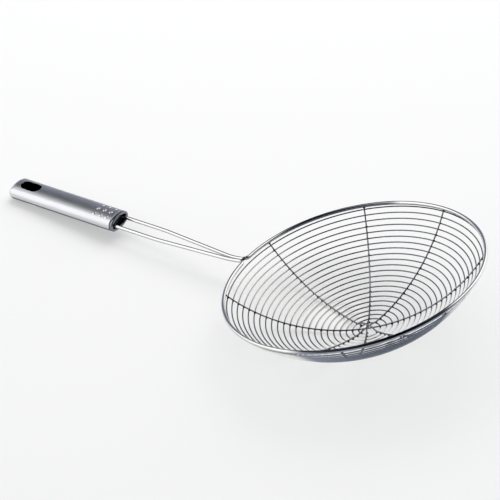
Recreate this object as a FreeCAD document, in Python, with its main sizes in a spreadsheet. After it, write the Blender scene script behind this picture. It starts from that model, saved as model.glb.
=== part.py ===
import FreeCAD
import Part
import Sketcher
import math
import os

# Spider skimmer: a wire bowl on two wire legs that run into a flat oval steel tube.
# Lengths are millimetres, names that end in deg are degrees.
# Bowl frame: origin in the middle of the rim, Z up the bowl's axis, handle on the -X side.
# Handle frame: origin in the middle of the mouth, X along the tube to its tail, Z up.
# Ovals of the handle: a flat arc above and below and a round arc on each side, all tangent.
# The part lies as on a table, on the bowl's underside and the handle's tail.

V = FreeCAD.Vector
UP = V(0, 0, 1)
ALONG = V(1, 0, 0)
ACROSS = V(0, 1, 0)

SIZES = {
    # Bowl: rim, cross wires and the wound wire
    "rim_radius": 100,
    "bowl_depth": 50,
    "frame_wire_dia": 3,
    "cross_wire_dia": 1.2,
    "mesh_wire_dia": 1,
    "mesh_turns": 22.75,
    "mesh_eye_radius": 6,
    "mesh_start_deg": 27,
    "cross_1_deg": 27,
    "cross_2_deg": 75,
    "cross_3_deg": 116,
    "cross_4_deg": 164,
    "hump_reach": 12,
    "hump_half_flat": 2.4,
    "weld_gap": 0.05,
    "foot_cut": 0.5,
    "least_turn_gap": 0.4,
    # Legs: neck at the rim, bend out of the rim's plane, spread towards the handle
    "neck_radius": 4.5,
    "neck_gap": 0.1,
    "neck_length": 12.75,
    "leg_rise_deg": 12.4,
    "leg_length": 109.1,
    "leg_bend_radius": 60,
    "spread_from_bend": 67.8,
    "spread_radius": 150,
    "leg_spread": 13.3,
    "leg_end_past_plug": 3,
    # Handle tube
    "handle_length": 108.6,
    "tube_width": 23,
    "tube_height": 13.2,
    "tube_side_radius": 5.5,
    "tube_wall": 0.7,
    "tail_corner_radius": 4.6,
    "mouth_edge_radius": 0.25,
    "hang_length": 19.4,
    "hang_width": 10.8,
    "hang_from_tail": 17.6,
    "dot_dia": 3.3,
    "dot_height": 0.5,
    "dot_pitch": 6.2,
    "dots_from_mouth": 14.6,
    "dot_row_deg": 16,
    # Mouth ring and plug
    "ring_lip": 2.2,
    "ring_groove": 0.8,
    "ring_seat": 2,
    "ring_wall": 2.2,
    "ring_front_radius": 0.8,
    "ring_back_radius": 0.4,
    "plug_length": 16,
    "fit_gap": 0.05,
    "overrun": 2,
}

DERIVED = {
    "frame_wire_radius": "=frame_wire_dia / 2",
    "leg_half_spread": "=leg_spread / 2",
    "half_height": "=tube_height / 2",
    "side_centre": "=tube_width / 2 - tube_side_radius",
    "top_spare": "=half_height - tube_side_radius",
    "top_over_side": "=(side_centre * side_centre + top_spare * top_spare) / (2 * top_spare)",
    "top_centre_drop": "=top_over_side - top_spare",
    "tube_front": "=ring_lip + ring_groove",
    "tube_length": "=handle_length - tube_front",
    "bore_side_radius": "=tube_side_radius - tube_wall",
    "bore_corner_radius": "=tail_corner_radius - tube_wall",
    "bore_depth": "=tube_length - tube_wall",
    "hang_end_radius": "=hang_width / 2",
    "hang_tail_centre": "=handle_length - hang_from_tail + hang_length / 2 - hang_end_radius",
    "hang_front_centre": "=handle_length - hang_from_tail - hang_length / 2 + hang_end_radius",
    "dot_ball_radius": "=(dot_dia * dot_dia / 4 + dot_height * dot_height) / (2 * dot_height)",
    "dot_ball_offset": "=tube_side_radius + top_over_side + dot_height - dot_ball_radius",
    "spigot_side_radius": "=bore_side_radius - fit_gap",
    "spigot_length": "=ring_groove + ring_seat",
    "ring_bore_side_radius": "=tube_side_radius - ring_wall",
    "plug_front": "=tube_front + ring_seat + fit_gap",
    "plug_hole_radius": "=frame_wire_radius + fit_gap",
}

TUBE_VOLUME_TOLERANCE_SHARE = 0.002
EDGE_MATCH = 1e-6
TURN_SAMPLES = 48
RIM_ARCS = 4

doc = FreeCAD.newDocument("spider_skimmer")
sheet = doc.addObject("Spreadsheet::Sheet", "Sizes")
for row, (alias, content) in enumerate({**SIZES, **DERIVED}.items(), start=1):
    sheet.set(f"A{row}", alias)
    sheet.set(f"B{row}", str(content))
    sheet.setAlias(f"B{row}", alias)
doc.recompute()


def size(cell):
    """Number held by a cell of the sheet."""
    return float(sheet.get(cell))


def angle(cell):
    """Angle held by a cell of the sheet, in radians."""
    return math.radians(size(cell))


# Curves shared by the wires


def bend(start, corner, end):
    """Arc from start to end whose end tangents meet at corner."""
    weight = math.cos((corner - start).getAngle(end - start))
    middle = (start + corner * (2 * weight) + end) / (2 * (1 + weight))
    return Part.Arc(start, middle, end).toShape()


def biarc(start, start_way, end, end_way):
    """Two arcs that join two points along the given unit tangents."""
    chord = end - start
    ways = start_way + end_way
    spread = 2 * (1 - start_way.dot(end_way))
    along = chord.dot(ways)
    reach = (math.sqrt(along * along + spread * chord.dot(chord)) - along) / spread
    first = start + start_way * reach
    second = end - end_way * reach
    middle = (first + second) / 2
    return [bend(start, first, middle), bend(middle, second, end)]


def rounded_run(points, radii):
    """Straight runs through the points, with each inner corner bent to its radius."""
    edges = []
    start = points[0]
    for before, corner, after, radius in zip(points, points[1:], points[2:], radii):
        back = (before - corner).normalize()
        on = (after - corner).normalize()
        reach = radius / math.tan(back.getAngle(on) / 2)
        edges.append(Part.LineSegment(start, corner + back * reach).toShape())
        edges.append(bend(corner + back * reach, corner, corner + on * reach))
        start = corner + on * reach
    edges.append(Part.LineSegment(start, points[-1]).toShape())
    return edges


def round_wire(edges, diameter, name):
    """Solid round wire along a chain of edges, checked against section times length."""
    path = Part.Wire(edges)
    first = edges[0]
    section = Part.makeCircle(
        diameter / 2, first.valueAt(first.FirstParameter), first.tangentAt(first.FirstParameter)
    )
    solid = path.makePipeShell([Part.Wire(section)], True, False)
    expected = math.pi * diameter**2 / 4 * path.Length
    if abs(solid.Volume / expected - 1) > TUBE_VOLUME_TOLERANCE_SHARE:
        raise RuntimeError(f"{name}: volume {solid.Volume:.1f} differs from {expected:.1f}")
    return solid


# Bowl surface: a cap of a ball, on which the cross wires' centre lines lie

rim_radius = size("rim_radius")
frame_wire_radius = size("frame_wire_radius")
weld_gap = size("weld_gap")
cross_dia = size("cross_wire_dia")
mesh_dia = size("mesh_wire_dia")
ball_radius = (rim_radius**2 + size("bowl_depth") ** 2) / (2 * size("bowl_depth"))
ball_centre = V(0, 0, ball_radius - size("bowl_depth"))
mesh_ball_radius = ball_radius + cross_dia / 2 + weld_gap + mesh_dia / 2
rim_slope = math.asin(rim_radius / ball_radius)


def on_ball(radius, slope, azimuth):
    """Point of a ball about the bowl's centre of curvature, slope counted from its lowest point."""
    flat = V(math.cos(azimuth), math.sin(azimuth), 0)
    return ball_centre + flat * (radius * math.sin(slope)) - UP * (radius * math.cos(slope))


def cross_path(azimuth, lift):
    """Centre line of a cross wire; an upper one humps over those below it in the middle."""
    end_slope = rim_slope - (frame_wire_radius + weld_gap) / ball_radius
    ends = [on_ball(ball_radius, end_slope, azimuth + turn) for turn in (0, math.pi)]
    bottom = on_ball(ball_radius, 0, azimuth)
    if lift == 0:
        return [Part.Arc(ends[0], bottom, ends[1]).toShape()]
    out = V(math.cos(azimuth), math.sin(azimuth), 0)
    foot_slope = math.asin(size("hump_reach") / ball_radius)
    middle_slope = (end_slope + foot_slope) / 2
    feet = [on_ball(ball_radius, foot_slope, azimuth + turn) for turn in (0, math.pi)]
    middles = [on_ball(ball_radius, middle_slope, azimuth + turn) for turn in (0, math.pi)]
    tops = [bottom + UP * lift + out * (side * size("hump_half_flat")) for side in (1, -1)]
    down = out * -math.cos(foot_slope) - UP * math.sin(foot_slope)
    rise = out * -math.cos(foot_slope) + UP * math.sin(foot_slope)
    return [
        Part.Arc(ends[0], middles[0], feet[0]).toShape(),
        *biarc(feet[0], down, tops[0], out * -1),
        Part.LineSegment(*tops).toShape(),
        *biarc(tops[1], out * -1, feet[1], rise),
        Part.Arc(feet[1], middles[1], ends[1]).toShape(),
    ]


def spiral_path():
    """Centre line of the wound wire, from under the rim inwards, as biarcs of a quarter turn."""
    touch = frame_wire_radius + weld_gap + mesh_dia / 2
    step = mesh_ball_radius - ball_radius
    rim_offset = math.sqrt((touch**2 - step**2) / (mesh_ball_radius * ball_radius))
    outer_slope = rim_slope - rim_offset
    inner_slope = math.asin(size("mesh_eye_radius") / mesh_ball_radius)
    whole_turn = 2 * math.pi
    slope_rate = (inner_slope - outer_slope) / (size("mesh_turns") * whole_turn)

    start_azimuth = angle("mesh_start_deg")

    def place(turned):
        return on_ball(mesh_ball_radius, outer_slope + slope_rate * turned, start_azimuth + turned)

    def heading(turned):
        azimuth = start_azimuth + turned
        slope = outer_slope + slope_rate * turned
        out = V(math.cos(azimuth), math.sin(azimuth), 0)
        round_about = V(-math.sin(azimuth), math.cos(azimuth), 0)
        uphill = out * math.cos(slope) + UP * math.sin(slope)
        return (round_about * math.sin(slope) + uphill * slope_rate).normalize()

    quarters = round(size("mesh_turns") * 4)
    stops = [size("mesh_turns") * whole_turn * i / quarters for i in range(quarters + 1)]
    edges = []
    for begin, finish in zip(stops, stops[1:]):
        edges += biarc(place(begin), heading(begin), place(finish), heading(finish))
    return edges


def least_gap(edges):
    """Least clear space between the turns of the wound wire, measured on points of its path."""
    quarters = len(edges) // 2
    per_edge = TURN_SAMPLES // 8
    points = []
    for edge in edges:
        points += edge.discretize(per_edge + 1)[:-1]
    nearest = min(
        (points[i] - points[j]).Length
        for i in range(len(points))
        for j in range(i + TURN_SAMPLES // 2, min(len(points), i + 2 * TURN_SAMPLES))
    )
    print(f"wound wire: {quarters / 4} turns, least gap to itself {nearest - mesh_dia:.2f} mm")
    return nearest - mesh_dia


# Frame wire: rim, neck and legs in one piece


def leg_points(side):
    """Corners of a leg's centre line, from its end in the handle to the neck."""
    rise = angle("leg_rise_deg")
    way = V(-math.cos(rise), 0, math.sin(rise))
    root = V(-rim_radius - size("neck_length"), side * neck_half, 0)
    step_out = ACROSS * (side * (size("leg_half_spread") - neck_half))
    end_length = size("leg_length") + size("plug_front") + size("plug_length") + size("leg_end_past_plug")
    neck_start = neck_centre(side) - ACROSS * (side * size("neck_radius"))
    spread = root + way * size("spread_from_bend") + step_out
    return [root + way * end_length + step_out, spread, root, neck_start]


def neck_centre(side):
    """Centre of the small bend that leads a leg into the rim."""
    across = neck_half + size("neck_radius")
    back = math.sqrt((rim_radius + size("neck_radius")) ** 2 - across**2)
    return V(-back, side * across, 0)


def neck_bend(side):
    """Arc from a leg into the rim."""
    centre = neck_centre(side)
    to_leg = ACROSS * -side
    to_rim = (centre * -1).normalize()
    radius = size("neck_radius")
    middle = (to_leg + to_rim).normalize()
    return Part.Arc(centre + to_leg * radius, centre + middle * radius, centre + to_rim * radius).toShape()


def rim_arcs():
    """Arcs round the rim from one neck bend to the other, clockwise seen from above."""
    centre = neck_centre(1)
    first = math.atan2(centre.y, centre.x)
    stops = [first - 2 * first * i / (2 * RIM_ARCS) for i in range(2 * RIM_ARCS + 1)]
    points = [V(math.cos(stop), math.sin(stop), 0) * rim_radius for stop in stops]
    return [Part.Arc(*points[i : i + 3]).toShape() for i in range(0, 2 * RIM_ARCS, 2)]


def reversed_arc(edge):
    """Same arc, run through the other way."""
    first, last = edge.ParameterRange
    return Part.Arc(*(edge.valueAt(at) for at in (last, (first + last) / 2, first))).toShape()


neck_half = frame_wire_radius + size("neck_gap") / 2
leg_radii = [size("spread_radius"), size("leg_bend_radius")]
frame_edges = rounded_run(leg_points(1), leg_radii) + [neck_bend(1)] + rim_arcs()
frame_edges += [reversed_arc(neck_bend(-1))] + rounded_run(leg_points(-1)[::-1], leg_radii[::-1])

# Places: the handle on the legs, and the whole part on the table

leg_rise = size("leg_rise_deg")
leg_way = FreeCAD.Rotation(ACROSS, leg_rise).multVec(ALONG * -1)
mouth = V(-rim_radius - size("neck_length"), 0, 0) + leg_way * size("leg_length")
handle_on_bowl = FreeCAD.Placement(mouth, FreeCAD.Rotation(ACROSS, leg_rise) * FreeCAD.Rotation(UP, 180))

corner_radius = size("tail_corner_radius")
corner_at = size("handle_length") - corner_radius
corner_drop = size("half_height") - corner_radius
tail_corners = [handle_on_bowl.multVec(V(corner_at, 0, side * corner_drop)) for side in (-1, 1)]

# The bowl's underside and the lower corner of the tail touch the table together.
tail = tail_corners[0]
foot_radius = mesh_ball_radius + mesh_dia / 2 - size("foot_cut")
drop = ball_centre.z - tail.z
lean = math.asin((foot_radius - corner_radius) / math.hypot(tail.x, drop)) - math.atan2(drop, -tail.x)
lift = foot_radius - ball_centre.z * math.cos(lean)
lean_turn = FreeCAD.Rotation(ACROSS, -math.degrees(lean))

# The origin is under the middle of the part's length.
rim_end = rim_radius * math.cos(lean) + frame_wire_radius
tail_end = min(lean_turn.multVec(corner).x for corner in tail_corners) - corner_radius
bowl_place = FreeCAD.Placement(V(-(rim_end + tail_end) / 2, 0, lift), lean_turn)
handle_place = bowl_place.multiply(handle_on_bowl)

# Sketch and feature helpers for the handle's pieces


def new_body(label):
    """Empty body with its own label."""
    body = doc.addObject("PartDesign::Body", label)
    body.Label = label
    doc.recompute()
    return body


def new_sketch(body, name, plane):
    """Sketch on one of the body's own origin planes."""
    sketch = body.newObject("Sketcher::SketchObject", name)
    support = [feature for feature in body.Origin.OriginFeatures if feature.Role == plane][0]
    sketch.AttachmentSupport = [(support, "")]
    sketch.MapMode = "FlatFace"
    return sketch


def bind(sketch, kind, references, cell):
    """Dimension in a sketch that follows a cell of the sheet."""
    number = sketch.addConstraint(Sketcher.Constraint(kind, *references, size(cell)))
    sketch.setExpression(f"Constraints[{number}]", f"Sizes.{cell}")


def add_oval(sketch, side_cell):
    """Oval about the sketch's origin; the cell holds the radius of its side arcs."""
    side_radius = size(side_cell)
    top_radius = side_radius + size("top_over_side")
    side_x = size("side_centre")
    top_y = size("top_centre_drop")
    meet = math.atan2(top_y, side_x)
    right, top, left, bottom = (
        sketch.addGeometry(Part.ArcOfCircle(Part.Circle(centre, UP, radius), first, last))
        for centre, radius, first, last in (
            (V(side_x, 0, 0), side_radius, -meet, meet),
            (V(0, -top_y, 0), top_radius, meet, math.pi - meet),
            (V(-side_x, 0, 0), side_radius, math.pi - meet, math.pi + meet),
            (V(0, top_y, 0), top_radius, math.pi + meet, 2 * math.pi - meet),
        )
    )
    for rule in (
        ("PointOnObject", right, 3, -1),
        ("PointOnObject", top, 3, -2),
        ("PointOnObject", left, 3, -1),
        ("Symmetric", right, 1, right, 2, -1),
        ("Symmetric", top, 1, top, 2, -2),
        ("Symmetric", left, 1, left, 2, -1),
        ("Tangent", right, 2, top, 1),
        ("Coincident", top, 2, left, 1),
        ("Coincident", left, 2, bottom, 1),
        ("Coincident", bottom, 2, right, 1),
        ("Equal", right, left),
        ("Equal", top, bottom),
    ):
        sketch.addConstraint(Sketcher.Constraint(*rule))
    bind(sketch, "DistanceX", (-1, 1, right, 3), "side_centre")
    bind(sketch, "DistanceY", (top, 3, -1, 1), "top_centre_drop")
    bind(sketch, "Radius", (right,), side_cell)


def oval_sketch(body, name, at_cell, *side_cells):
    """Sketch across the handle at a place along it, with one oval for each radius of side arcs."""
    sketch = new_sketch(body, name, "YZ_Plane")
    if at_cell:
        sketch.setExpression("AttachmentOffset.Base.z", f"Sizes.{at_cell}")
    for side_cell in side_cells:
        add_oval(sketch, side_cell)
    doc.recompute()
    return sketch


def along_handle(body, kind, sketch, name, length_cell):
    """Pad or pocket of a sketch towards the handle's tail."""
    feature = body.newObject(f"PartDesign::{kind}", name)
    feature.Profile = sketch
    feature.Reversed = kind == "Pocket"
    feature.setExpression("Length", f"Sizes.{length_cell}")
    doc.recompute()
    return feature


def rounded_edges(body, name, radius_cell, ovals):
    """Fillet along whole ovals, each given by its place along the handle and its side radius."""
    base = body.Tip
    names = []
    for at, side_radius in ovals:
        radii = (side_radius, side_radius + size("top_over_side"))
        for number, edge in enumerate(base.Shape.Edges, start=1):
            if edge.Degenerated or not isinstance(edge.Curve, Part.Circle):
                continue
            there = abs(edge.Curve.Center.x - at) < EDGE_MATCH
            across = abs(edge.Curve.Axis.x) > 1 - EDGE_MATCH
            if there and across and min(abs(edge.Curve.Radius - radius) for radius in radii) < EDGE_MATCH:
                names.append(f"Edge{number}")
    fillet = body.newObject("PartDesign::Fillet", name)
    fillet.Base = (base, names)
    fillet.setExpression("Radius", f"Sizes.{radius_cell}")
    doc.recompute()
    return fillet


# Handle tube: an oval bar with raised dots, hollowed, rounded at the tail and holed for hanging

tube = new_body("handle_tube")
bar_sketch = oval_sketch(tube, "bar_outline", "tube_front", "tube_side_radius")
along_handle(tube, "Pad", bar_sketch, "bar", "tube_length")

DOT_STEPS = (-1, 0, 1)
for dot_row in DOT_STEPS:
    for dot_step in DOT_STEPS:
        dot = tube.newObject("PartDesign::AdditiveSphere", "dot")
        turn_text = f"({dot_row} * Sizes.dot_row_deg)"
        height_text = f"Sizes.dot_ball_offset * cos({turn_text}) - Sizes.top_centre_drop"
        dot.setExpression("Radius", "Sizes.dot_ball_radius")
        dot.setExpression("Placement.Base.x", f"Sizes.dots_from_mouth + {dot_step} * Sizes.dot_pitch")
        dot.setExpression("Placement.Base.y", f"Sizes.dot_ball_offset * sin({turn_text})")
        dot.setExpression("Placement.Base.z", height_text)
        doc.recompute()

solid_volume = tube.Shape.Volume
bore_sketch = oval_sketch(tube, "bore_outline", "tube_front", "bore_side_radius")
along_handle(tube, "Pocket", bore_sketch, "bore", "bore_depth")
bore_oval = (size("tube_front") + size("bore_depth"), size("bore_side_radius"))
rounded_edges(tube, "bore_corner", "bore_corner_radius", [bore_oval])
tail_oval = (size("handle_length"), size("tube_side_radius"))
rounded_edges(tube, "tail_corner", "tail_corner_radius", [tail_oval])
mouth_oval = (size("tube_front"), size("tube_side_radius"))
rounded_edges(tube, "mouth_edge", "mouth_edge_radius", [mouth_oval])

slot = new_sketch(tube, "hang_outline", "XY_Plane")
slot_radius = size("hang_end_radius")
slot_front = V(size("hang_front_centre"), 0, 0)
slot_tail = V(size("hang_tail_centre"), 0, 0)
slot_side = ACROSS * slot_radius
near_line = slot.addGeometry(Part.LineSegment(slot_front - slot_side, slot_tail - slot_side))
tail_arc = slot.addGeometry(
    Part.ArcOfCircle(Part.Circle(slot_tail, UP, slot_radius), -math.pi / 2, math.pi / 2)
)
far_line = slot.addGeometry(Part.LineSegment(slot_tail + slot_side, slot_front + slot_side))
front_arc = slot.addGeometry(
    Part.ArcOfCircle(Part.Circle(slot_front, UP, slot_radius), math.pi / 2, 3 * math.pi / 2)
)
for rule in (
    ("Tangent", near_line, 2, tail_arc, 1),
    ("Tangent", tail_arc, 2, far_line, 1),
    ("Tangent", far_line, 2, front_arc, 1),
    ("Tangent", front_arc, 2, near_line, 1),
    ("PointOnObject", tail_arc, 3, -1),
    ("PointOnObject", front_arc, 3, -1),
    ("Equal", tail_arc, front_arc),
):
    slot.addConstraint(Sketcher.Constraint(*rule))
bind(slot, "DistanceX", (-1, 1, front_arc, 3), "hang_front_centre")
bind(slot, "DistanceX", (-1, 1, tail_arc, 3), "hang_tail_centre")
bind(slot, "Radius", (tail_arc,), "hang_end_radius")
doc.recompute()
hollow_volume = tube.Shape.Volume
hang_hole = tube.newObject("PartDesign::Pocket", "hang_hole")
hang_hole.Profile = slot
hang_hole.Type = "ThroughAll"
hang_hole.SideType = "Symmetric"
doc.recompute()
if not tube.Shape.Volume < hollow_volume < solid_volume:
    raise RuntimeError("the handle's bore or hang hole cuts nothing")
tube.Placement = handle_place

# Mouth ring: a lip as wide as the tube and a spigot that seats in it

ring = new_body("mouth_ring")
lip_sketch = oval_sketch(ring, "lip_outline", None, "tube_side_radius", "ring_bore_side_radius")
along_handle(ring, "Pad", lip_sketch, "lip", "ring_lip")
spigot_cells = ("spigot_side_radius", "ring_bore_side_radius")
spigot_sketch = oval_sketch(ring, "spigot_outline", "ring_lip", *spigot_cells)
along_handle(ring, "Pad", spigot_sketch, "spigot", "spigot_length")
front_ovals = [(0, size("tube_side_radius")), (0, size("ring_bore_side_radius"))]
rounded_edges(ring, "ring_front", "ring_front_radius", front_ovals)
back_oval = (size("ring_lip"), size("tube_side_radius"))
rounded_edges(ring, "ring_back", "ring_back_radius", [back_oval])
ring.Placement = handle_place

# Wire plug: fills the tube behind the ring and holds the two legs

plug = new_body("wire_plug")
plug_sketch = oval_sketch(plug, "plug_outline", "plug_front", "spigot_side_radius")
for side in (-1, 1):
    leg_centre = V(side * size("leg_half_spread"), 0, 0)
    leg_hole = plug_sketch.addGeometry(Part.Circle(leg_centre, UP, size("plug_hole_radius")))
    plug_sketch.addConstraint(Sketcher.Constraint("PointOnObject", leg_hole, 3, -1))
    bind(plug_sketch, "Radius", (leg_hole,), "plug_hole_radius")
    bind(plug_sketch, "Distance", (-1, 1, leg_hole, 3), "leg_half_spread")
doc.recompute()
along_handle(plug, "Pad", plug_sketch, "plug_bar", "plug_length")
plug.Placement = handle_place

# Wires


def add_wire(label, shape):
    """Wire piece of the bowl, laid down with the part."""
    piece = doc.addObject("Part::Feature", label)
    piece.Label = label
    piece.Shape = shape
    piece.Placement = bowl_place
    return piece


pieces = [tube, ring, plug]
pieces.append(add_wire("frame_wire", round_wire(frame_edges, size("frame_wire_dia"), "frame_wire")))
for number in range(4):
    cross_label = f"cross_wire_{number + 1}"
    cross_edges = cross_path(angle(f"cross_{number + 1}_deg"), number * (cross_dia + weld_gap))
    pieces.append(add_wire(cross_label, round_wire(cross_edges, cross_dia, cross_label)))

spiral_edges = spiral_path()
if least_gap(spiral_edges) <= size("least_turn_gap"):
    raise RuntimeError("the turns of the wound wire are too close")
spiral = round_wire(spiral_edges, mesh_dia, "mesh_spiral")
floor_corner = V(bowl_place.Base.x - rim_radius, -rim_radius, -size("overrun"))
floor_block = Part.makeBox(2 * rim_radius, 2 * rim_radius, size("overrun"), floor_corner)
floor_block.Placement = bowl_place.inverse().multiply(floor_block.Placement)
pieces.append(add_wire("mesh_spiral", spiral.cut(floor_block)))

# Write each piece

doc.recompute()
for item in doc.Objects:
    if "Invalid" in item.State or "Error" in item.State:
        raise RuntimeError(f"{item.Label} failed: {item.State}")
for piece in pieces:
    if piece.Shape.isNull() or not piece.Shape.isValid() or len(piece.Shape.Solids) != 1:
        raise RuntimeError(f"{piece.Label} is not one valid solid")

os.makedirs("parts", exist_ok=True)
for piece in pieces:
    piece.Shape.exportStep(f"parts/{piece.Label}.step")
    print(f"{piece.Label}: {piece.Shape.Volume:.1f} mm3")
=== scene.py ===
"""Looks of the spider skimmer: wound wire, welds, steel finishes, table, light and camera.

Lengths are millimetres until a mesh is made, angles are degrees.
Bowl frame: origin in the middle of the rim, Z up the bowl's axis, handle on the -X side.
"""

import math

import bpy
import numpy as np
from mathutils import Matrix, Vector


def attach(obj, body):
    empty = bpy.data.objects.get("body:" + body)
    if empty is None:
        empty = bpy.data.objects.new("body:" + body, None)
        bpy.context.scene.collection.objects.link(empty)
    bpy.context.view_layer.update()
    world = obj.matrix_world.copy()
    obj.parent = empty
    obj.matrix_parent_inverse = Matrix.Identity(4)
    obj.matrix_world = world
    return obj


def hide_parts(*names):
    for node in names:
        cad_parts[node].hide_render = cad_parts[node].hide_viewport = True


MM = 0.001
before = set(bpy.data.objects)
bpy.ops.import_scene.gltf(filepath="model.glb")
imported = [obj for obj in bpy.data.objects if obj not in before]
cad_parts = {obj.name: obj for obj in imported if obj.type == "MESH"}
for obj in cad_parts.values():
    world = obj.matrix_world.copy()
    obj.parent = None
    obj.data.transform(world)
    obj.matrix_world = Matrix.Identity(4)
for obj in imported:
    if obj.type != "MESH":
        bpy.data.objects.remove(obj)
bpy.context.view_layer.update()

# Sizes of the bowl and the handle, as in the CAD model

RIM_RADIUS = 100.0
BOWL_DEPTH = 50.0
FRAME_WIRE_RADIUS = 1.5
CROSS_WIRE_RADIUS = 0.6
MESH_WIRE_RADIUS = 0.5
MESH_TURNS = 22.75
MESH_START = 27.0
MESH_EYE_RADIUS = 6.0
CROSS_AZIMUTHS = (27.0, 75.0, 116.0, 164.0)
WELD_GAP = 0.05
BOWL_LEAN = 16.5737
BOWL_PLACE = np.array([114.0004, 0.0, 54.266])
HANDLE_MOUTH = np.array([-102.876, 0.0, 14.1639])
HANDLE_TILT = 4.1737

BALL_RADIUS = (RIM_RADIUS**2 + BOWL_DEPTH**2) / (2 * BOWL_DEPTH)
BALL_HEIGHT = BALL_RADIUS - BOWL_DEPTH
BALL_CENTRE = np.array([0.0, 0.0, BALL_HEIGHT])
MESH_BALL_RADIUS = BALL_RADIUS + CROSS_WIRE_RADIUS + WELD_GAP + MESH_WIRE_RADIUS
RIM_SLOPE = math.asin(RIM_RADIUS / BALL_RADIUS)
CROSS_ARMS = np.radians(np.concatenate([CROSS_AZIMUTHS, np.add(CROSS_AZIMUTHS, 180)]))

# Shared geometry


def to_part(points):
    """Points of the bowl frame in the part's frame: turned about Y by the bowl's lean, then moved."""
    lean = math.radians(BOWL_LEAN)
    x = points[..., 0] * math.cos(lean) - points[..., 2] * math.sin(lean)
    z = points[..., 0] * math.sin(lean) + points[..., 2] * math.cos(lean)
    return np.stack([x, points[..., 1], z], -1) + BOWL_PLACE


def on_ball(radius, slope, azimuth):
    """Point at a slope from the lowest point and an azimuth, on a ball about the bowl's centre of curvature."""
    flat = radius * np.sin(slope)
    return np.stack([flat * np.cos(azimuth), flat * np.sin(azimuth), BALL_HEIGHT - radius * np.cos(slope)], -1)


def unit(vectors):
    """Vectors divided by their length."""
    return vectors / np.linalg.norm(vectors, axis=-1, keepdims=True)


def grid_faces(rows, columns, copies=1):
    """Quads of a grid whose columns close on themselves, with a cap at each end, for each copy of the grid."""
    row, column = np.meshgrid(np.arange(rows - 1), np.arange(columns), indexing="ij")
    here = row * columns + column
    after = row * columns + (column + 1) % columns
    quads = np.stack([here, after, after + columns, here + columns], -1).reshape(-1, 4)
    caps = np.stack([np.arange(columns)[::-1], np.arange(columns) + (rows - 1) * columns])
    step = (np.arange(copies) * rows * columns)[:, None, None]
    return [*(quads + step).reshape(-1, 4).tolist(), *(caps + step).reshape(-1, columns).tolist()]


def add_piece(name, points, faces, material):
    """Mesh piece of the part from points in millimetres, smooth, riding on the one body."""
    mesh = bpy.data.meshes.new(name)
    mesh.from_pydata((points.reshape(-1, 3) * MM).tolist(), [], faces)
    mesh.polygons.foreach_set("use_smooth", np.ones(len(mesh.polygons), bool))
    mesh.materials.append(material)
    mesh.update()
    piece = bpy.data.objects.new(name, mesh)
    bpy.context.scene.collection.objects.link(piece)
    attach(piece, "root")
    return piece


# Materials

# Grains in millimetres. The drawing grain and the polishing lines are finer on the real steel,
# and are drawn this coarse so that they show.
HANDLED_PATCH = 14.0
DRAWING_GRAIN = 0.6
POLISHING_LINE = 0.35
POLISHING_STRETCH = 50.0
POLISHING_DEPTH = 0.02
MOULD_GRAIN = 0.4
MOULD_DEPTH = 0.05
WELD_GRAIN = 0.9
# Octaves of the uneven patterns, and how much of its depth each relief shows.
PATTERN_DETAIL = 3.0
POLISHING_RELIEF = 0.08
MOULD_RELIEF = 0.3
# Roughness of each finish: one value, or the two ends between which its grain varies.
FRAME_ROUGHNESS = (0.09, 0.16)
MESH_ROUGHNESS = 0.28
CROSS_ROUGHNESS = 0.2
TUBE_ROUGHNESS = (0.2, 0.5)
RING_ROUGHNESS = (0.11, 0.21)
PLUG_ROUGHNESS = 0.55
WELD_ROUGHNESS = 0.5
# The beads are partly scale, so they are not all metal.
WELD_METALLIC = 0.8
# Sides of the bowl with a tint of painted reflection (pale painted sheen, painted shade, painted blue-grey
# reflection): azimuth of the middle, and the cosines between which the tint sets in.
HANDLE_SIDE_SHEEN = (180.0, (0.85, 0.99))
FRONT_SIDE_SHEEN = (0.0, (0.85, 0.99))
PALE_SIDE_SHEEN = (296.0, (0.53, 0.71))
BAND_REFLECTION_SIDE = (311.0, (0.77, 0.87))
RIM_SHADED_SIDE = (128.0, (0.86, 0.92))
# Heights from the rim's plane between which the painted blue-grey reflection of the near band sets in on the
# wound wire, and the painted shade along the rim.
BAND_REFLECTION_ABOVE = (-42.0, -34.0)
RIM_SHADE_ABOVE = (-5.0, -2.5)
# Upward parts of the normal between which the rim's painted dark reflection on top and the painted shade on the
# undersides set in.
RIM_DARK_REFLECTION_TOP = (0.45, 0.75)
FRAME_SHADED_UNDERSIDE = (0.10, -0.40)
TUBE_SHADED_UNDERSIDE = (-0.14, -0.40)
# How far inside the middle line of its wall the tube counts as inside.
TUBE_INSIDE = 0.5


def linear(code):
    """sRGB hex colour as linear RGBA."""
    channels = np.array([int(code[i : i + 2], 16) for i in (1, 3, 5)]) / 255
    curve = np.where(channels <= 0.04045, channels / 12.92, ((channels + 0.055) / 1.055) ** 2.4)
    return (*curve.tolist(), 1.0)


def per_mm(length):
    """Scale of a pattern whose lumps are about a length in millimetres."""
    return 1 / (length * MM)


def add_node(tree, kind, inputs=None, **settings):
    """Shader node with its settings; an input is a value, a hex colour, or a socket that is linked to it."""
    made = tree.nodes.new(kind)
    for name, value in settings.items():
        setattr(made, name, value)
    for key, value in (inputs or {}).items():
        if isinstance(value, bpy.types.NodeSocket):
            tree.links.new(value, made.inputs[key])
        else:
            made.inputs[key].default_value = linear(value) if isinstance(value, str) else value
    return made


def new_material(name):
    """Empty node material and its tree."""
    material = bpy.data.materials.new(name)
    material.use_nodes = True
    material.node_tree.nodes.clear()
    return material, material.node_tree


def close_material(tree, inputs):
    """Ends a material of the part in its one surface shader."""
    surface = add_node(tree, "ShaderNodeBsdfPrincipled", inputs)
    add_node(tree, "ShaderNodeOutputMaterial", {"Surface": surface.outputs[0]})


def lay_tints(tree, tone, *tints):
    """Colour with tints laid over it one after another, each a share and a colour.

    Inputs 6 and 7 of the Mix node are its two colours, and output 2 is their mix.
    """
    for share, tint in tints:
        laid_over = add_node(tree, "ShaderNodeMix", {"Factor": share, 6: tone, 7: tint}, data_type="RGBA")
        tone = laid_over.outputs[2]
    return tone


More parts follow.
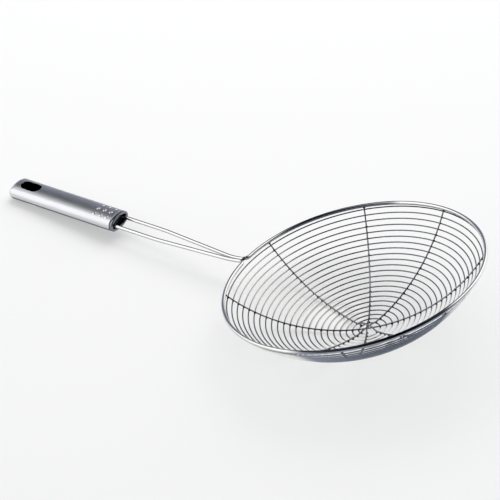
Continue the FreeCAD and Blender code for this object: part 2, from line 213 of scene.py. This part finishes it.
def laid_coords(tree, place, lean):
    """Object coordinates carried back into the frame of the bowl or the handle."""
    own = add_node(tree, "ShaderNodeTexCoord").outputs["Object"]
    turn = (0.0, -math.radians(lean), 0.0)
    inputs = {"Vector": own, "Location": (place * MM).tolist(), "Rotation": turn}
    return add_node(tree, "ShaderNodeMapping", inputs, vector_type="TEXTURE").outputs[0]


def side_share(tree, laid, side, cosines):
    """Share of one side of the bowl: cosine of the turn round the bowl's axis to that side, faded in."""
    middle = (math.cos(math.radians(side)), math.sin(math.radians(side)), 0.0)
    flat = add_node(tree, "ShaderNodeVectorMath", {0: laid, 1: (1.0, 1.0, 0.0)}, operation="MULTIPLY")
    ray = add_node(tree, "ShaderNodeVectorMath", {0: flat.outputs[0]}, operation="NORMALIZE")
    turn = add_node(tree, "ShaderNodeVectorMath", {0: ray.outputs[0], 1: middle}, operation="DOT_PRODUCT")
    fade = {"Value": turn.outputs["Value"], "From Min": cosines[0], "From Max": cosines[1]}
    return add_node(tree, "ShaderNodeMapRange", fade, interpolation_type="SMOOTHSTEP").outputs[0]


def raised_share(tree, laid, heights):
    """Share of the bowl's upper part: height from the rim's plane, faded in."""
    height = add_node(tree, "ShaderNodeSeparateXYZ", {"Vector": laid}).outputs["Z"]
    fade = {"Value": height, "From Min": heights[0] * MM, "From Max": heights[1] * MM}
    return add_node(tree, "ShaderNodeMapRange", fade, interpolation_type="SMOOTHSTEP").outputs[0]


def band_reflection_share(tree, laid):
    """Share of the near band of the bowl that gets a painted blue-grey reflection, from its outline up to the
    rim.
    """
    parts = {0: raised_share(tree, laid, BAND_REFLECTION_ABOVE), 1: side_share(tree, laid, *BAND_REFLECTION_SIDE)}
    return add_node(tree, "ShaderNodeMath", parts, operation="MULTIPLY").outputs[0]


def facing_share(tree, parts):
    """Share of the surface that faces up or down: upward part of the normal, faded in."""
    facing = add_node(tree, "ShaderNodeTexCoord").outputs["Normal"]
    upward = add_node(tree, "ShaderNodeSeparateXYZ", {"Vector": facing}).outputs["Z"]
    fade = {"Value": upward, "From Min": parts[0], "From Max": parts[1]}
    return add_node(tree, "ShaderNodeMapRange", fade, interpolation_type="SMOOTHSTEP").outputs[0]


def rim_wire():
    """Drawn stainless wire of rim and legs: bright with faint dull patches, painted shade below, painted dark
    reflections on some sides.
    """
    material, tree = new_material("bright_frame_wire")
    laid = laid_coords(tree, BOWL_PLACE, BOWL_LEAN)
    worn = {"Vector": laid, "Scale": per_mm(HANDLED_PATCH), "Detail": PATTERN_DETAIL}
    patches = add_node(tree, "ShaderNodeTexNoise", worn).outputs[0]
    grain = add_node(tree, "ShaderNodeTexNoise", {"Vector": laid, "Scale": per_mm(DRAWING_GRAIN)}).outputs[0]
    spread = {"Value": grain, "To Min": FRAME_ROUGHNESS[0], "To Max": FRAME_ROUGHNESS[1]}
    dull = add_node(tree, "ShaderNodeMapRange", spread).outputs[0]
    # Painted reflection for the near band: a blue-grey tone, with a painted dark reflection on the rim's top.
    band_reflection_tone = lay_tints(tree, "#8b919c", (facing_share(tree, RIM_DARK_REFLECTION_TOP), "#2f3239"))
    # Over the wire's own tone and dull patches: painted shade on the undersides, the near band's painted
    # reflection, and painted shade on one side.
    tone = lay_tints(
        tree,
        "#d2d1d0",
        (patches, "#dedddc"),
        (facing_share(tree, FRAME_SHADED_UNDERSIDE), "#7c7c7c"),
        (side_share(tree, laid, *BAND_REFLECTION_SIDE), band_reflection_tone),
        (side_share(tree, laid, *RIM_SHADED_SIDE), "#85878d"),
    )
    close_material(tree, {"Base Color": tone, "Metallic": 1.0, "Roughness": dull})
    return material


def wound_wire():
    """Fine drawn wire of the bowl: grey from annealing, with a painted pale sheen on some sides, a painted
    blue-grey reflection on the near band and painted shade along the rim.
    """
    material, tree = new_material("drawn_mesh_wire")
    laid = laid_coords(tree, BOWL_PLACE, BOWL_LEAN)
    # Painted light over the wire's own grey: pale painted sheen towards the handle, the front and the near left,
    # painted blue-grey reflection on the near band, and painted shade along the rim.
    tone = lay_tints(
        tree,
        "#6a6b70",
        (side_share(tree, laid, *HANDLE_SIDE_SHEEN), "#bebdb8"),
        (side_share(tree, laid, *FRONT_SIDE_SHEEN), "#fdfdfd"),
        (side_share(tree, laid, *PALE_SIDE_SHEEN), "#e2e1dd"),
        (band_reflection_share(tree, laid), "#868d99"),
        (raised_share(tree, laid, RIM_SHADE_ABOVE), "#2a2b30"),
    )
    close_material(tree, {"Base Color": tone, "Metallic": 1.0, "Roughness": MESH_ROUGHNESS})
    return material


def straight_wire():
    """Drawn wire of the cross wires: grey from annealing, with the painted blue-grey reflection of the near band
    as the wound wire has.
    """
    material, tree = new_material("drawn_cross_wire")
    laid = laid_coords(tree, BOWL_PLACE, BOWL_LEAN)
    worn = {"Vector": laid, "Scale": per_mm(HANDLED_PATCH), "Detail": PATTERN_DETAIL}
    patches = add_node(tree, "ShaderNodeTexNoise", worn).outputs[0]
    # Painted blue-grey reflection on the near band, over the wire's own tone and patches.
    tone = lay_tints(tree, "#707176", (patches, "#8b8c91"), (band_reflection_share(tree, laid), "#8c929d"))
    close_material(tree, {"Base Color": tone, "Metallic": 1.0, "Roughness": CROSS_ROUGHNESS})
    return material


def satin_tube():
    """Satin stainless tube: fine polishing lines along its length, with painted shade below and painted shade
    inside.
    """
    material, tree = new_material("satin_stainless_tube")
    laid = laid_coords(tree, HANDLE_MOUTH, HANDLE_TILT)
    narrowed = {0: laid, 1: (1 / POLISHING_STRETCH, 1.0, 1.0)}
    stretched = add_node(tree, "ShaderNodeVectorMath", narrowed, operation="MULTIPLY").outputs[0]
    brushed = {"Vector": stretched, "Scale": per_mm(POLISHING_LINE), "Detail": PATTERN_DETAIL}
    lines = add_node(tree, "ShaderNodeTexNoise", brushed).outputs[0]
    spread = {"Value": lines, "To Min": TUBE_ROUGHNESS[0], "To Max": TUBE_ROUGHNESS[1]}
    dull = add_node(tree, "ShaderNodeMapRange", spread).outputs[0]
    depth = {"Strength": POLISHING_RELIEF, "Distance": POLISHING_DEPTH * MM, "Height": lines}
    relief = add_node(tree, "ShaderNodeBump", depth).outputs[0]
    facing = add_node(tree, "ShaderNodeTexCoord").outputs["Normal"]
    across = add_node(tree, "ShaderNodeVectorMath", {0: laid, 1: (0.0, 1.0, 1.0)}, operation="MULTIPLY")
    outward = add_node(tree, "ShaderNodeVectorMath", {0: across.outputs[0], 1: facing}, operation="DOT_PRODUCT")
    fade = {"Value": outward.outputs["Value"], "From Min": -TUBE_INSIDE * MM, "From Max": 0.0}
    outside = add_node(tree, "ShaderNodeMapRange", fade, interpolation_type="SMOOTHSTEP").outputs[0]
    # Painted shade: near black inside the tube and dark on its underside, over the satin tone outside.
    tone = lay_tints(tree, "#0c0c0d", (outside, "#d4d5d8"), (facing_share(tree, TUBE_SHADED_UNDERSIDE), "#2e2f34"))
    close_material(tree, {"Base Color": tone, "Metallic": 1.0, "Roughness": dull, "Normal": relief})
    return material


def turned_ring():
    """Turned stainless ring: grey and shiny, with faint dull patches."""
    material, tree = new_material("turned_ring_steel")
    own = add_node(tree, "ShaderNodeTexCoord").outputs["Object"]
    worn = {"Vector": own, "Scale": per_mm(HANDLED_PATCH), "Detail": PATTERN_DETAIL}
    patches = add_node(tree, "ShaderNodeTexNoise", worn).outputs[0]
    grain = add_node(tree, "ShaderNodeTexNoise", {"Vector": own, "Scale": per_mm(DRAWING_GRAIN)}).outputs[0]
    spread = {"Value": grain, "To Min": RING_ROUGHNESS[0], "To Max": RING_ROUGHNESS[1]}
    dull = add_node(tree, "ShaderNodeMapRange", spread).outputs[0]
    tone = lay_tints(tree, "#707178", (patches, "#84858b"))
    close_material(tree, {"Base Color": tone, "Metallic": 1.0, "Roughness": dull})
    return material


def moulded_plug():
    """Dark grey moulded plastic: matt, with the fine grain of the mould."""
    material, tree = new_material("dark_moulded_plastic")
    own = add_node(tree, "ShaderNodeTexCoord").outputs["Object"]
    grain = add_node(tree, "ShaderNodeTexNoise", {"Vector": own, "Scale": per_mm(MOULD_GRAIN)}).outputs[0]
    depth = {"Strength": MOULD_RELIEF, "Distance": MOULD_DEPTH * MM, "Height": grain}
    relief = add_node(tree, "ShaderNodeBump", depth).outputs[0]
    tone = lay_tints(tree, "#3a3b45", (grain, "#53555f"))
    close_material(tree, {"Base Color": tone, "Roughness": PLUG_ROUGHNESS, "Normal": relief})
    return material


def weld_steel():
    """Resistance welds: small dark burnt beads with a straw tint, paler where the painted blue-grey reflection of
    the near band lies.
    """
    material, tree = new_material("heat_tinted_weld")
    laid = laid_coords(tree, BOWL_PLACE, BOWL_LEAN)
    burnt = {"Vector": laid, "Scale": per_mm(WELD_GRAIN), "Detail": PATTERN_DETAIL}
    grain = add_node(tree, "ShaderNodeTexNoise", burnt).outputs[0]
    # Painted blue-grey reflection on the near band, over the beads' own burnt tone.
    tone = lay_tints(tree, "#121112", (grain, "#3a3633"), (band_reflection_share(tree, laid), "#6f757f"))
    close_material(tree, {"Base Color": tone, "Metallic": WELD_METALLIC, "Roughness": WELD_ROUGHNESS})
    return material


cross_finish = straight_wire()
weld_finish = weld_steel()
NODE_FINISH = {
    "frame_wire": rim_wire(),
    "mouth_ring": turned_ring(),
    "handle_tube": satin_tube(),
    "wire_plug": moulded_plug(),
    **{f"cross_wire_{number}": cross_finish for number in range(1, 5)},
}
for node_name, finish in NODE_FINISH.items():
    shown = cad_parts[node_name].data
    shown.materials.clear()
    shown.materials.append(finish)

# Wound wire of the bowl

MESH_SEGMENTS_PER_TURN = 120
MESH_SIDES = 10


def spiral_slope(turned):
    """Slope on the ball after a turned angle: falls evenly from under the rim to the eye."""
    touch = FRAME_WIRE_RADIUS + WELD_GAP + MESH_WIRE_RADIUS
    step = MESH_BALL_RADIUS - BALL_RADIUS
    outer = RIM_SLOPE - math.sqrt((touch**2 - step**2) / (MESH_BALL_RADIUS * BALL_RADIUS))
    inner = math.asin(MESH_EYE_RADIUS / MESH_BALL_RADIUS)
    return outer + (inner - outer) * turned / (2 * math.pi * MESH_TURNS)


def swept(path, radius, sides):
    """Circle of a radius carried square to a path, as a grid of rings by sides."""
    ahead = unit(np.gradient(path, axis=0))
    aside = unit(np.cross(ahead, unit(path - BALL_CENTRE)))
    out = np.cross(aside, ahead)
    turn = np.arange(sides) * 2 * math.pi / sides
    ring = out[:, None] * np.cos(turn)[None, :, None] + aside[:, None] * np.sin(turn)[None, :, None]
    return path[:, None] + ring * radius


def add_mesh_spiral():
    """Wound wire: a circle carried along a spiral on a ball, cut flat where the bowl stands on the table."""
    rings = round(MESH_TURNS * MESH_SEGMENTS_PER_TURN)
    turned = np.linspace(0, 2 * math.pi * MESH_TURNS, rings)
    path = on_ball(MESH_BALL_RADIUS, spiral_slope(turned), math.radians(MESH_START) + turned)
    points = to_part(swept(path, MESH_WIRE_RADIUS, MESH_SIDES))
    points[..., 2] = np.maximum(points[..., 2], 0)
    piece = add_piece("mesh_wire", points, grid_faces(rings, MESH_SIDES), wound_wire())
    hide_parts("mesh_spiral")


add_mesh_spiral()

# Welds: half sizes along the wound wire, along the cross wire and out of the bowl

WELD_SIDES = 8
WELD_RINGS = 5
WELD_SEED = 11
WELD_SPREAD = (0.8, 1.2)
CROSSING_WELD_HALF = np.array([1.0, 0.85, 1.0])
CROSSING_WELD_DEPTH = 0.4
RIM_WELD_HALF = np.array([1.1, 0.8, 0.8])
RIM_WELD_INSET = 1.6
NECK_WELD_HALF = np.array([2.8, 1.3, 0.9])
NECK_WELD_PLACE = np.array([-RIM_RADIUS - 1.5, 0.0, 1.0])


def add_blobs(name, centres, along, out, half_sizes):
    """Flattened balls: centre plus three half-axes times the sine and cosine of two angles."""
    aside = np.cross(out, along)
    polar = (np.arange(WELD_RINGS) + 0.5) * math.pi / WELD_RINGS
    turn = np.arange(WELD_SIDES) * 2 * math.pi / WELD_SIDES
    level = np.sin(polar)[:, None]
    rise = np.repeat(-np.cos(polar)[:, None], WELD_SIDES, 1)
    shape = np.stack([level * np.cos(turn), level * np.sin(turn), rise], -1).reshape(-1, 3)
    axes = np.stack([along, aside, out], 1) * half_sizes[:, :, None]
    points = centres[:, None] + shape[None] @ axes
    faces = grid_faces(WELD_RINGS, WELD_SIDES, len(centres))
    add_piece(name, to_part(points), faces, weld_finish)


def add_wall_welds(name, depth, slope, azimuth, half_sizes):
    """Welds on the bowl's wall: at a depth under the cross wires' ball, turned along the wall."""
    centres = on_ball(BALL_RADIUS + depth, slope, azimuth)
    along = np.stack([-np.sin(azimuth), np.cos(azimuth), np.zeros_like(azimuth)], -1)
    add_blobs(name, centres, along, unit(centres - BALL_CENTRE), half_sizes)


def add_crossing_welds():
    """Weld at each crossing of the wound wire with a cross wire, spread a little in size."""
    chance = np.random.default_rng(WELD_SEED)
    first = np.mod(CROSS_ARMS - math.radians(MESH_START), 2 * math.pi)
    turned = (first[:, None] + 2 * math.pi * np.arange(math.ceil(MESH_TURNS))[None]).ravel()
    turned = turned[turned <= 2 * math.pi * MESH_TURNS]
    half_sizes = CROSSING_WELD_HALF * chance.uniform(*WELD_SPREAD, (len(turned), 1))
    azimuth = math.radians(MESH_START) + turned
    add_wall_welds("crossing_welds", CROSSING_WELD_DEPTH, spiral_slope(turned), azimuth, half_sizes)


def add_rim_welds():
    """Weld at each end of a cross wire, on the rim."""
    slope = np.full(len(CROSS_ARMS), RIM_SLOPE - RIM_WELD_INSET / BALL_RADIUS)
    add_wall_welds("rim_welds", 0.0, slope, CROSS_ARMS, np.tile(RIM_WELD_HALF, (len(CROSS_ARMS), 1)))


def add_neck_weld():
    """Weld that closes the rim where its two ends turn into the legs."""
    across, up = np.array([[0.0, 1.0, 0.0]]), np.array([[0.0, 0.0, 1.0]])
    add_blobs("neck_weld", NECK_WELD_PLACE[None], across, up, NECK_WELD_HALF[None])


add_crossing_welds()
add_rim_welds()
add_neck_weld()

# Table, light and camera

TABLE_SIDE = 8000.0
TABLE_DROP = 0.05
TABLE_GLOW = 0.4
# Soft boxes: parts of a direction along X, across Y and again along X between which each one sets in.
# The first has no far end along X.
SOFT_BOXES = (
    ((-0.20, -0.38), (0.28, 0.05), (1.2, 1.1)),
    ((-0.35, -0.10), (0.10, 0.35), (0.66, 0.50)),
)
CEILING_FADE = (0.35, 0.70)
WORLD_STRENGTH = 1.6
LAMP_PLACE = (-500.0, 900.0, 1500.0)
LAMP_SIDE = 1500.0
LAMP_POWER = 17.0
CAMERA_TARGET = (-3.04, 38.86, 0.0)
CAMERA_DISTANCE = 1448.29
CAMERA_AZIMUTH = -56.420
CAMERA_ELEVATION = 39.107
CAMERA_ROLL = -1.276
CAMERA_LENS = 129.6
CAMERA_SENSOR = 36.0


def white_table():
    """Matt white table top: shows pale to the camera and in the steel, and keeps soft shadows."""
    material, tree = new_material("white_table")
    ray = add_node(tree, "ShaderNodeLightPath").outputs
    direct = add_node(tree, "ShaderNodeMath", {0: ray["Is Camera Ray"], 1: ray["Is Glossy Ray"]}, operation="ADD")
    parts = {0: direct.outputs[0], 1: ray["Is Transmission Ray"]}
    seen = add_node(tree, "ShaderNodeMath", parts, operation="ADD", use_clamp=True)
    matt = add_node(tree, "ShaderNodeBsdfDiffuse", {"Color": "#f4f4f3"})
    glow = add_node(tree, "ShaderNodeEmission", {"Color": "#ffffff", "Strength": seen.outputs[0]})
    both = add_node(tree, "ShaderNodeMixShader", {0: TABLE_GLOW, 1: matt.outputs[0], 2: glow.outputs[0]})
    add_node(tree, "ShaderNodeOutputMaterial", {"Surface": both.outputs[0]})
    return material


def add_table():
    """Plain table top under the part."""
    half, level = TABLE_SIDE / 2, -TABLE_DROP
    corners = np.array([(-half, -half, level), (half, -half, level), (half, half, level), (-half, half, level)])
    mesh = bpy.data.meshes.new("table")
    mesh.from_pydata((corners * MM).tolist(), [], [(0, 1, 2, 3)])
    mesh.materials.append(white_table())
    table = bpy.data.objects.new("table", mesh)
    bpy.context.scene.collection.objects.link(table)


def set_world():
    """Studio that the steel mirrors: one soft box at the left front, one at the right back, else a dark room."""
    world = bpy.data.worlds.new("studio")
    world.use_nodes = True
    tree = world.node_tree
    tree.nodes.clear()
    way = add_node(tree, "ShaderNodeTexCoord").outputs["Generated"]
    along, across, height = add_node(tree, "ShaderNodeSeparateXYZ", {"Vector": way}).outputs
    fade = {"Value": height, "From Min": CEILING_FADE[0], "From Max": CEILING_FADE[1]}
    ceiling = add_node(tree, "ShaderNodeMapRange", fade, interpolation_type="SMOOTHSTEP").outputs[0]
    boxes = []
    for along_fade, across_fade, end_fade in SOFT_BOXES:
        lit = 1.0
        for part, (start, full) in ((along, along_fade), (across, across_fade), (along, end_fade)):
            fade = {"Value": part, "From Min": start, "From Max": full}
            edge = add_node(tree, "ShaderNodeMapRange", fade, interpolation_type="SMOOTHSTEP").outputs[0]
            lit = add_node(tree, "ShaderNodeMath", {0: lit, 1: edge}, operation="MULTIPLY").outputs[0]
        boxes.append((lit, "#ffffff"))
    tone = lay_tints(tree, "#646a77", (ceiling, "#0d0e12"), *boxes)
    sky = add_node(tree, "ShaderNodeBackground", {"Color": tone, "Strength": WORLD_STRENGTH})
    add_node(tree, "ShaderNodeOutputWorld", {"Surface": sky.outputs[0]})
    bpy.context.scene.world = world


def add_lamp():
    """Soft square lamp that lights the table: the steel mirrors the studio and not this lamp."""
    lamp = bpy.data.lights.new("soft_key", "AREA")
    lamp.size = LAMP_SIDE * MM
    lamp.energy = LAMP_POWER
    holder = bpy.data.objects.new("soft_key", lamp)
    place = Vector(LAMP_PLACE) * MM
    holder.matrix_world = Matrix.Translation(place) @ (-place).to_track_quat("-Z", "Y").to_matrix().to_4x4()
    holder.visible_glossy = False
    bpy.context.scene.collection.objects.link(holder)


def add_camera():
    """Camera at the photograph's viewing angle, placed by its azimuth, elevation and roll about a target."""
    azimuth, elevation, roll = (math.radians(a) for a in (CAMERA_AZIMUTH, CAMERA_ELEVATION, CAMERA_ROLL))
    back = Vector(
        (math.cos(azimuth) * math.cos(elevation), math.sin(azimuth) * math.cos(elevation), math.sin(elevation))
    )
    level = Vector((-math.sin(azimuth), math.cos(azimuth), 0))
    over = back.cross(level)
    right = level * math.cos(roll) + over * math.sin(roll)
    place = (Vector(CAMERA_TARGET) + back * CAMERA_DISTANCE) * MM
    turn = Matrix((right, back.cross(right), back)).transposed()
    camera = bpy.data.cameras.new("photo_camera")
    camera.lens = CAMERA_LENS
    camera.sensor_width = CAMERA_SENSOR
    holder = bpy.data.objects.new("photo_camera", camera)
    holder.matrix_world = Matrix.Translation(place) @ turn.to_4x4()
    bpy.context.scene.collection.objects.link(holder)
    bpy.context.scene.camera = holder


add_table()
set_world()
add_lamp()
add_camera()
bpy.context.scene.view_settings.view_transform = "Standard"
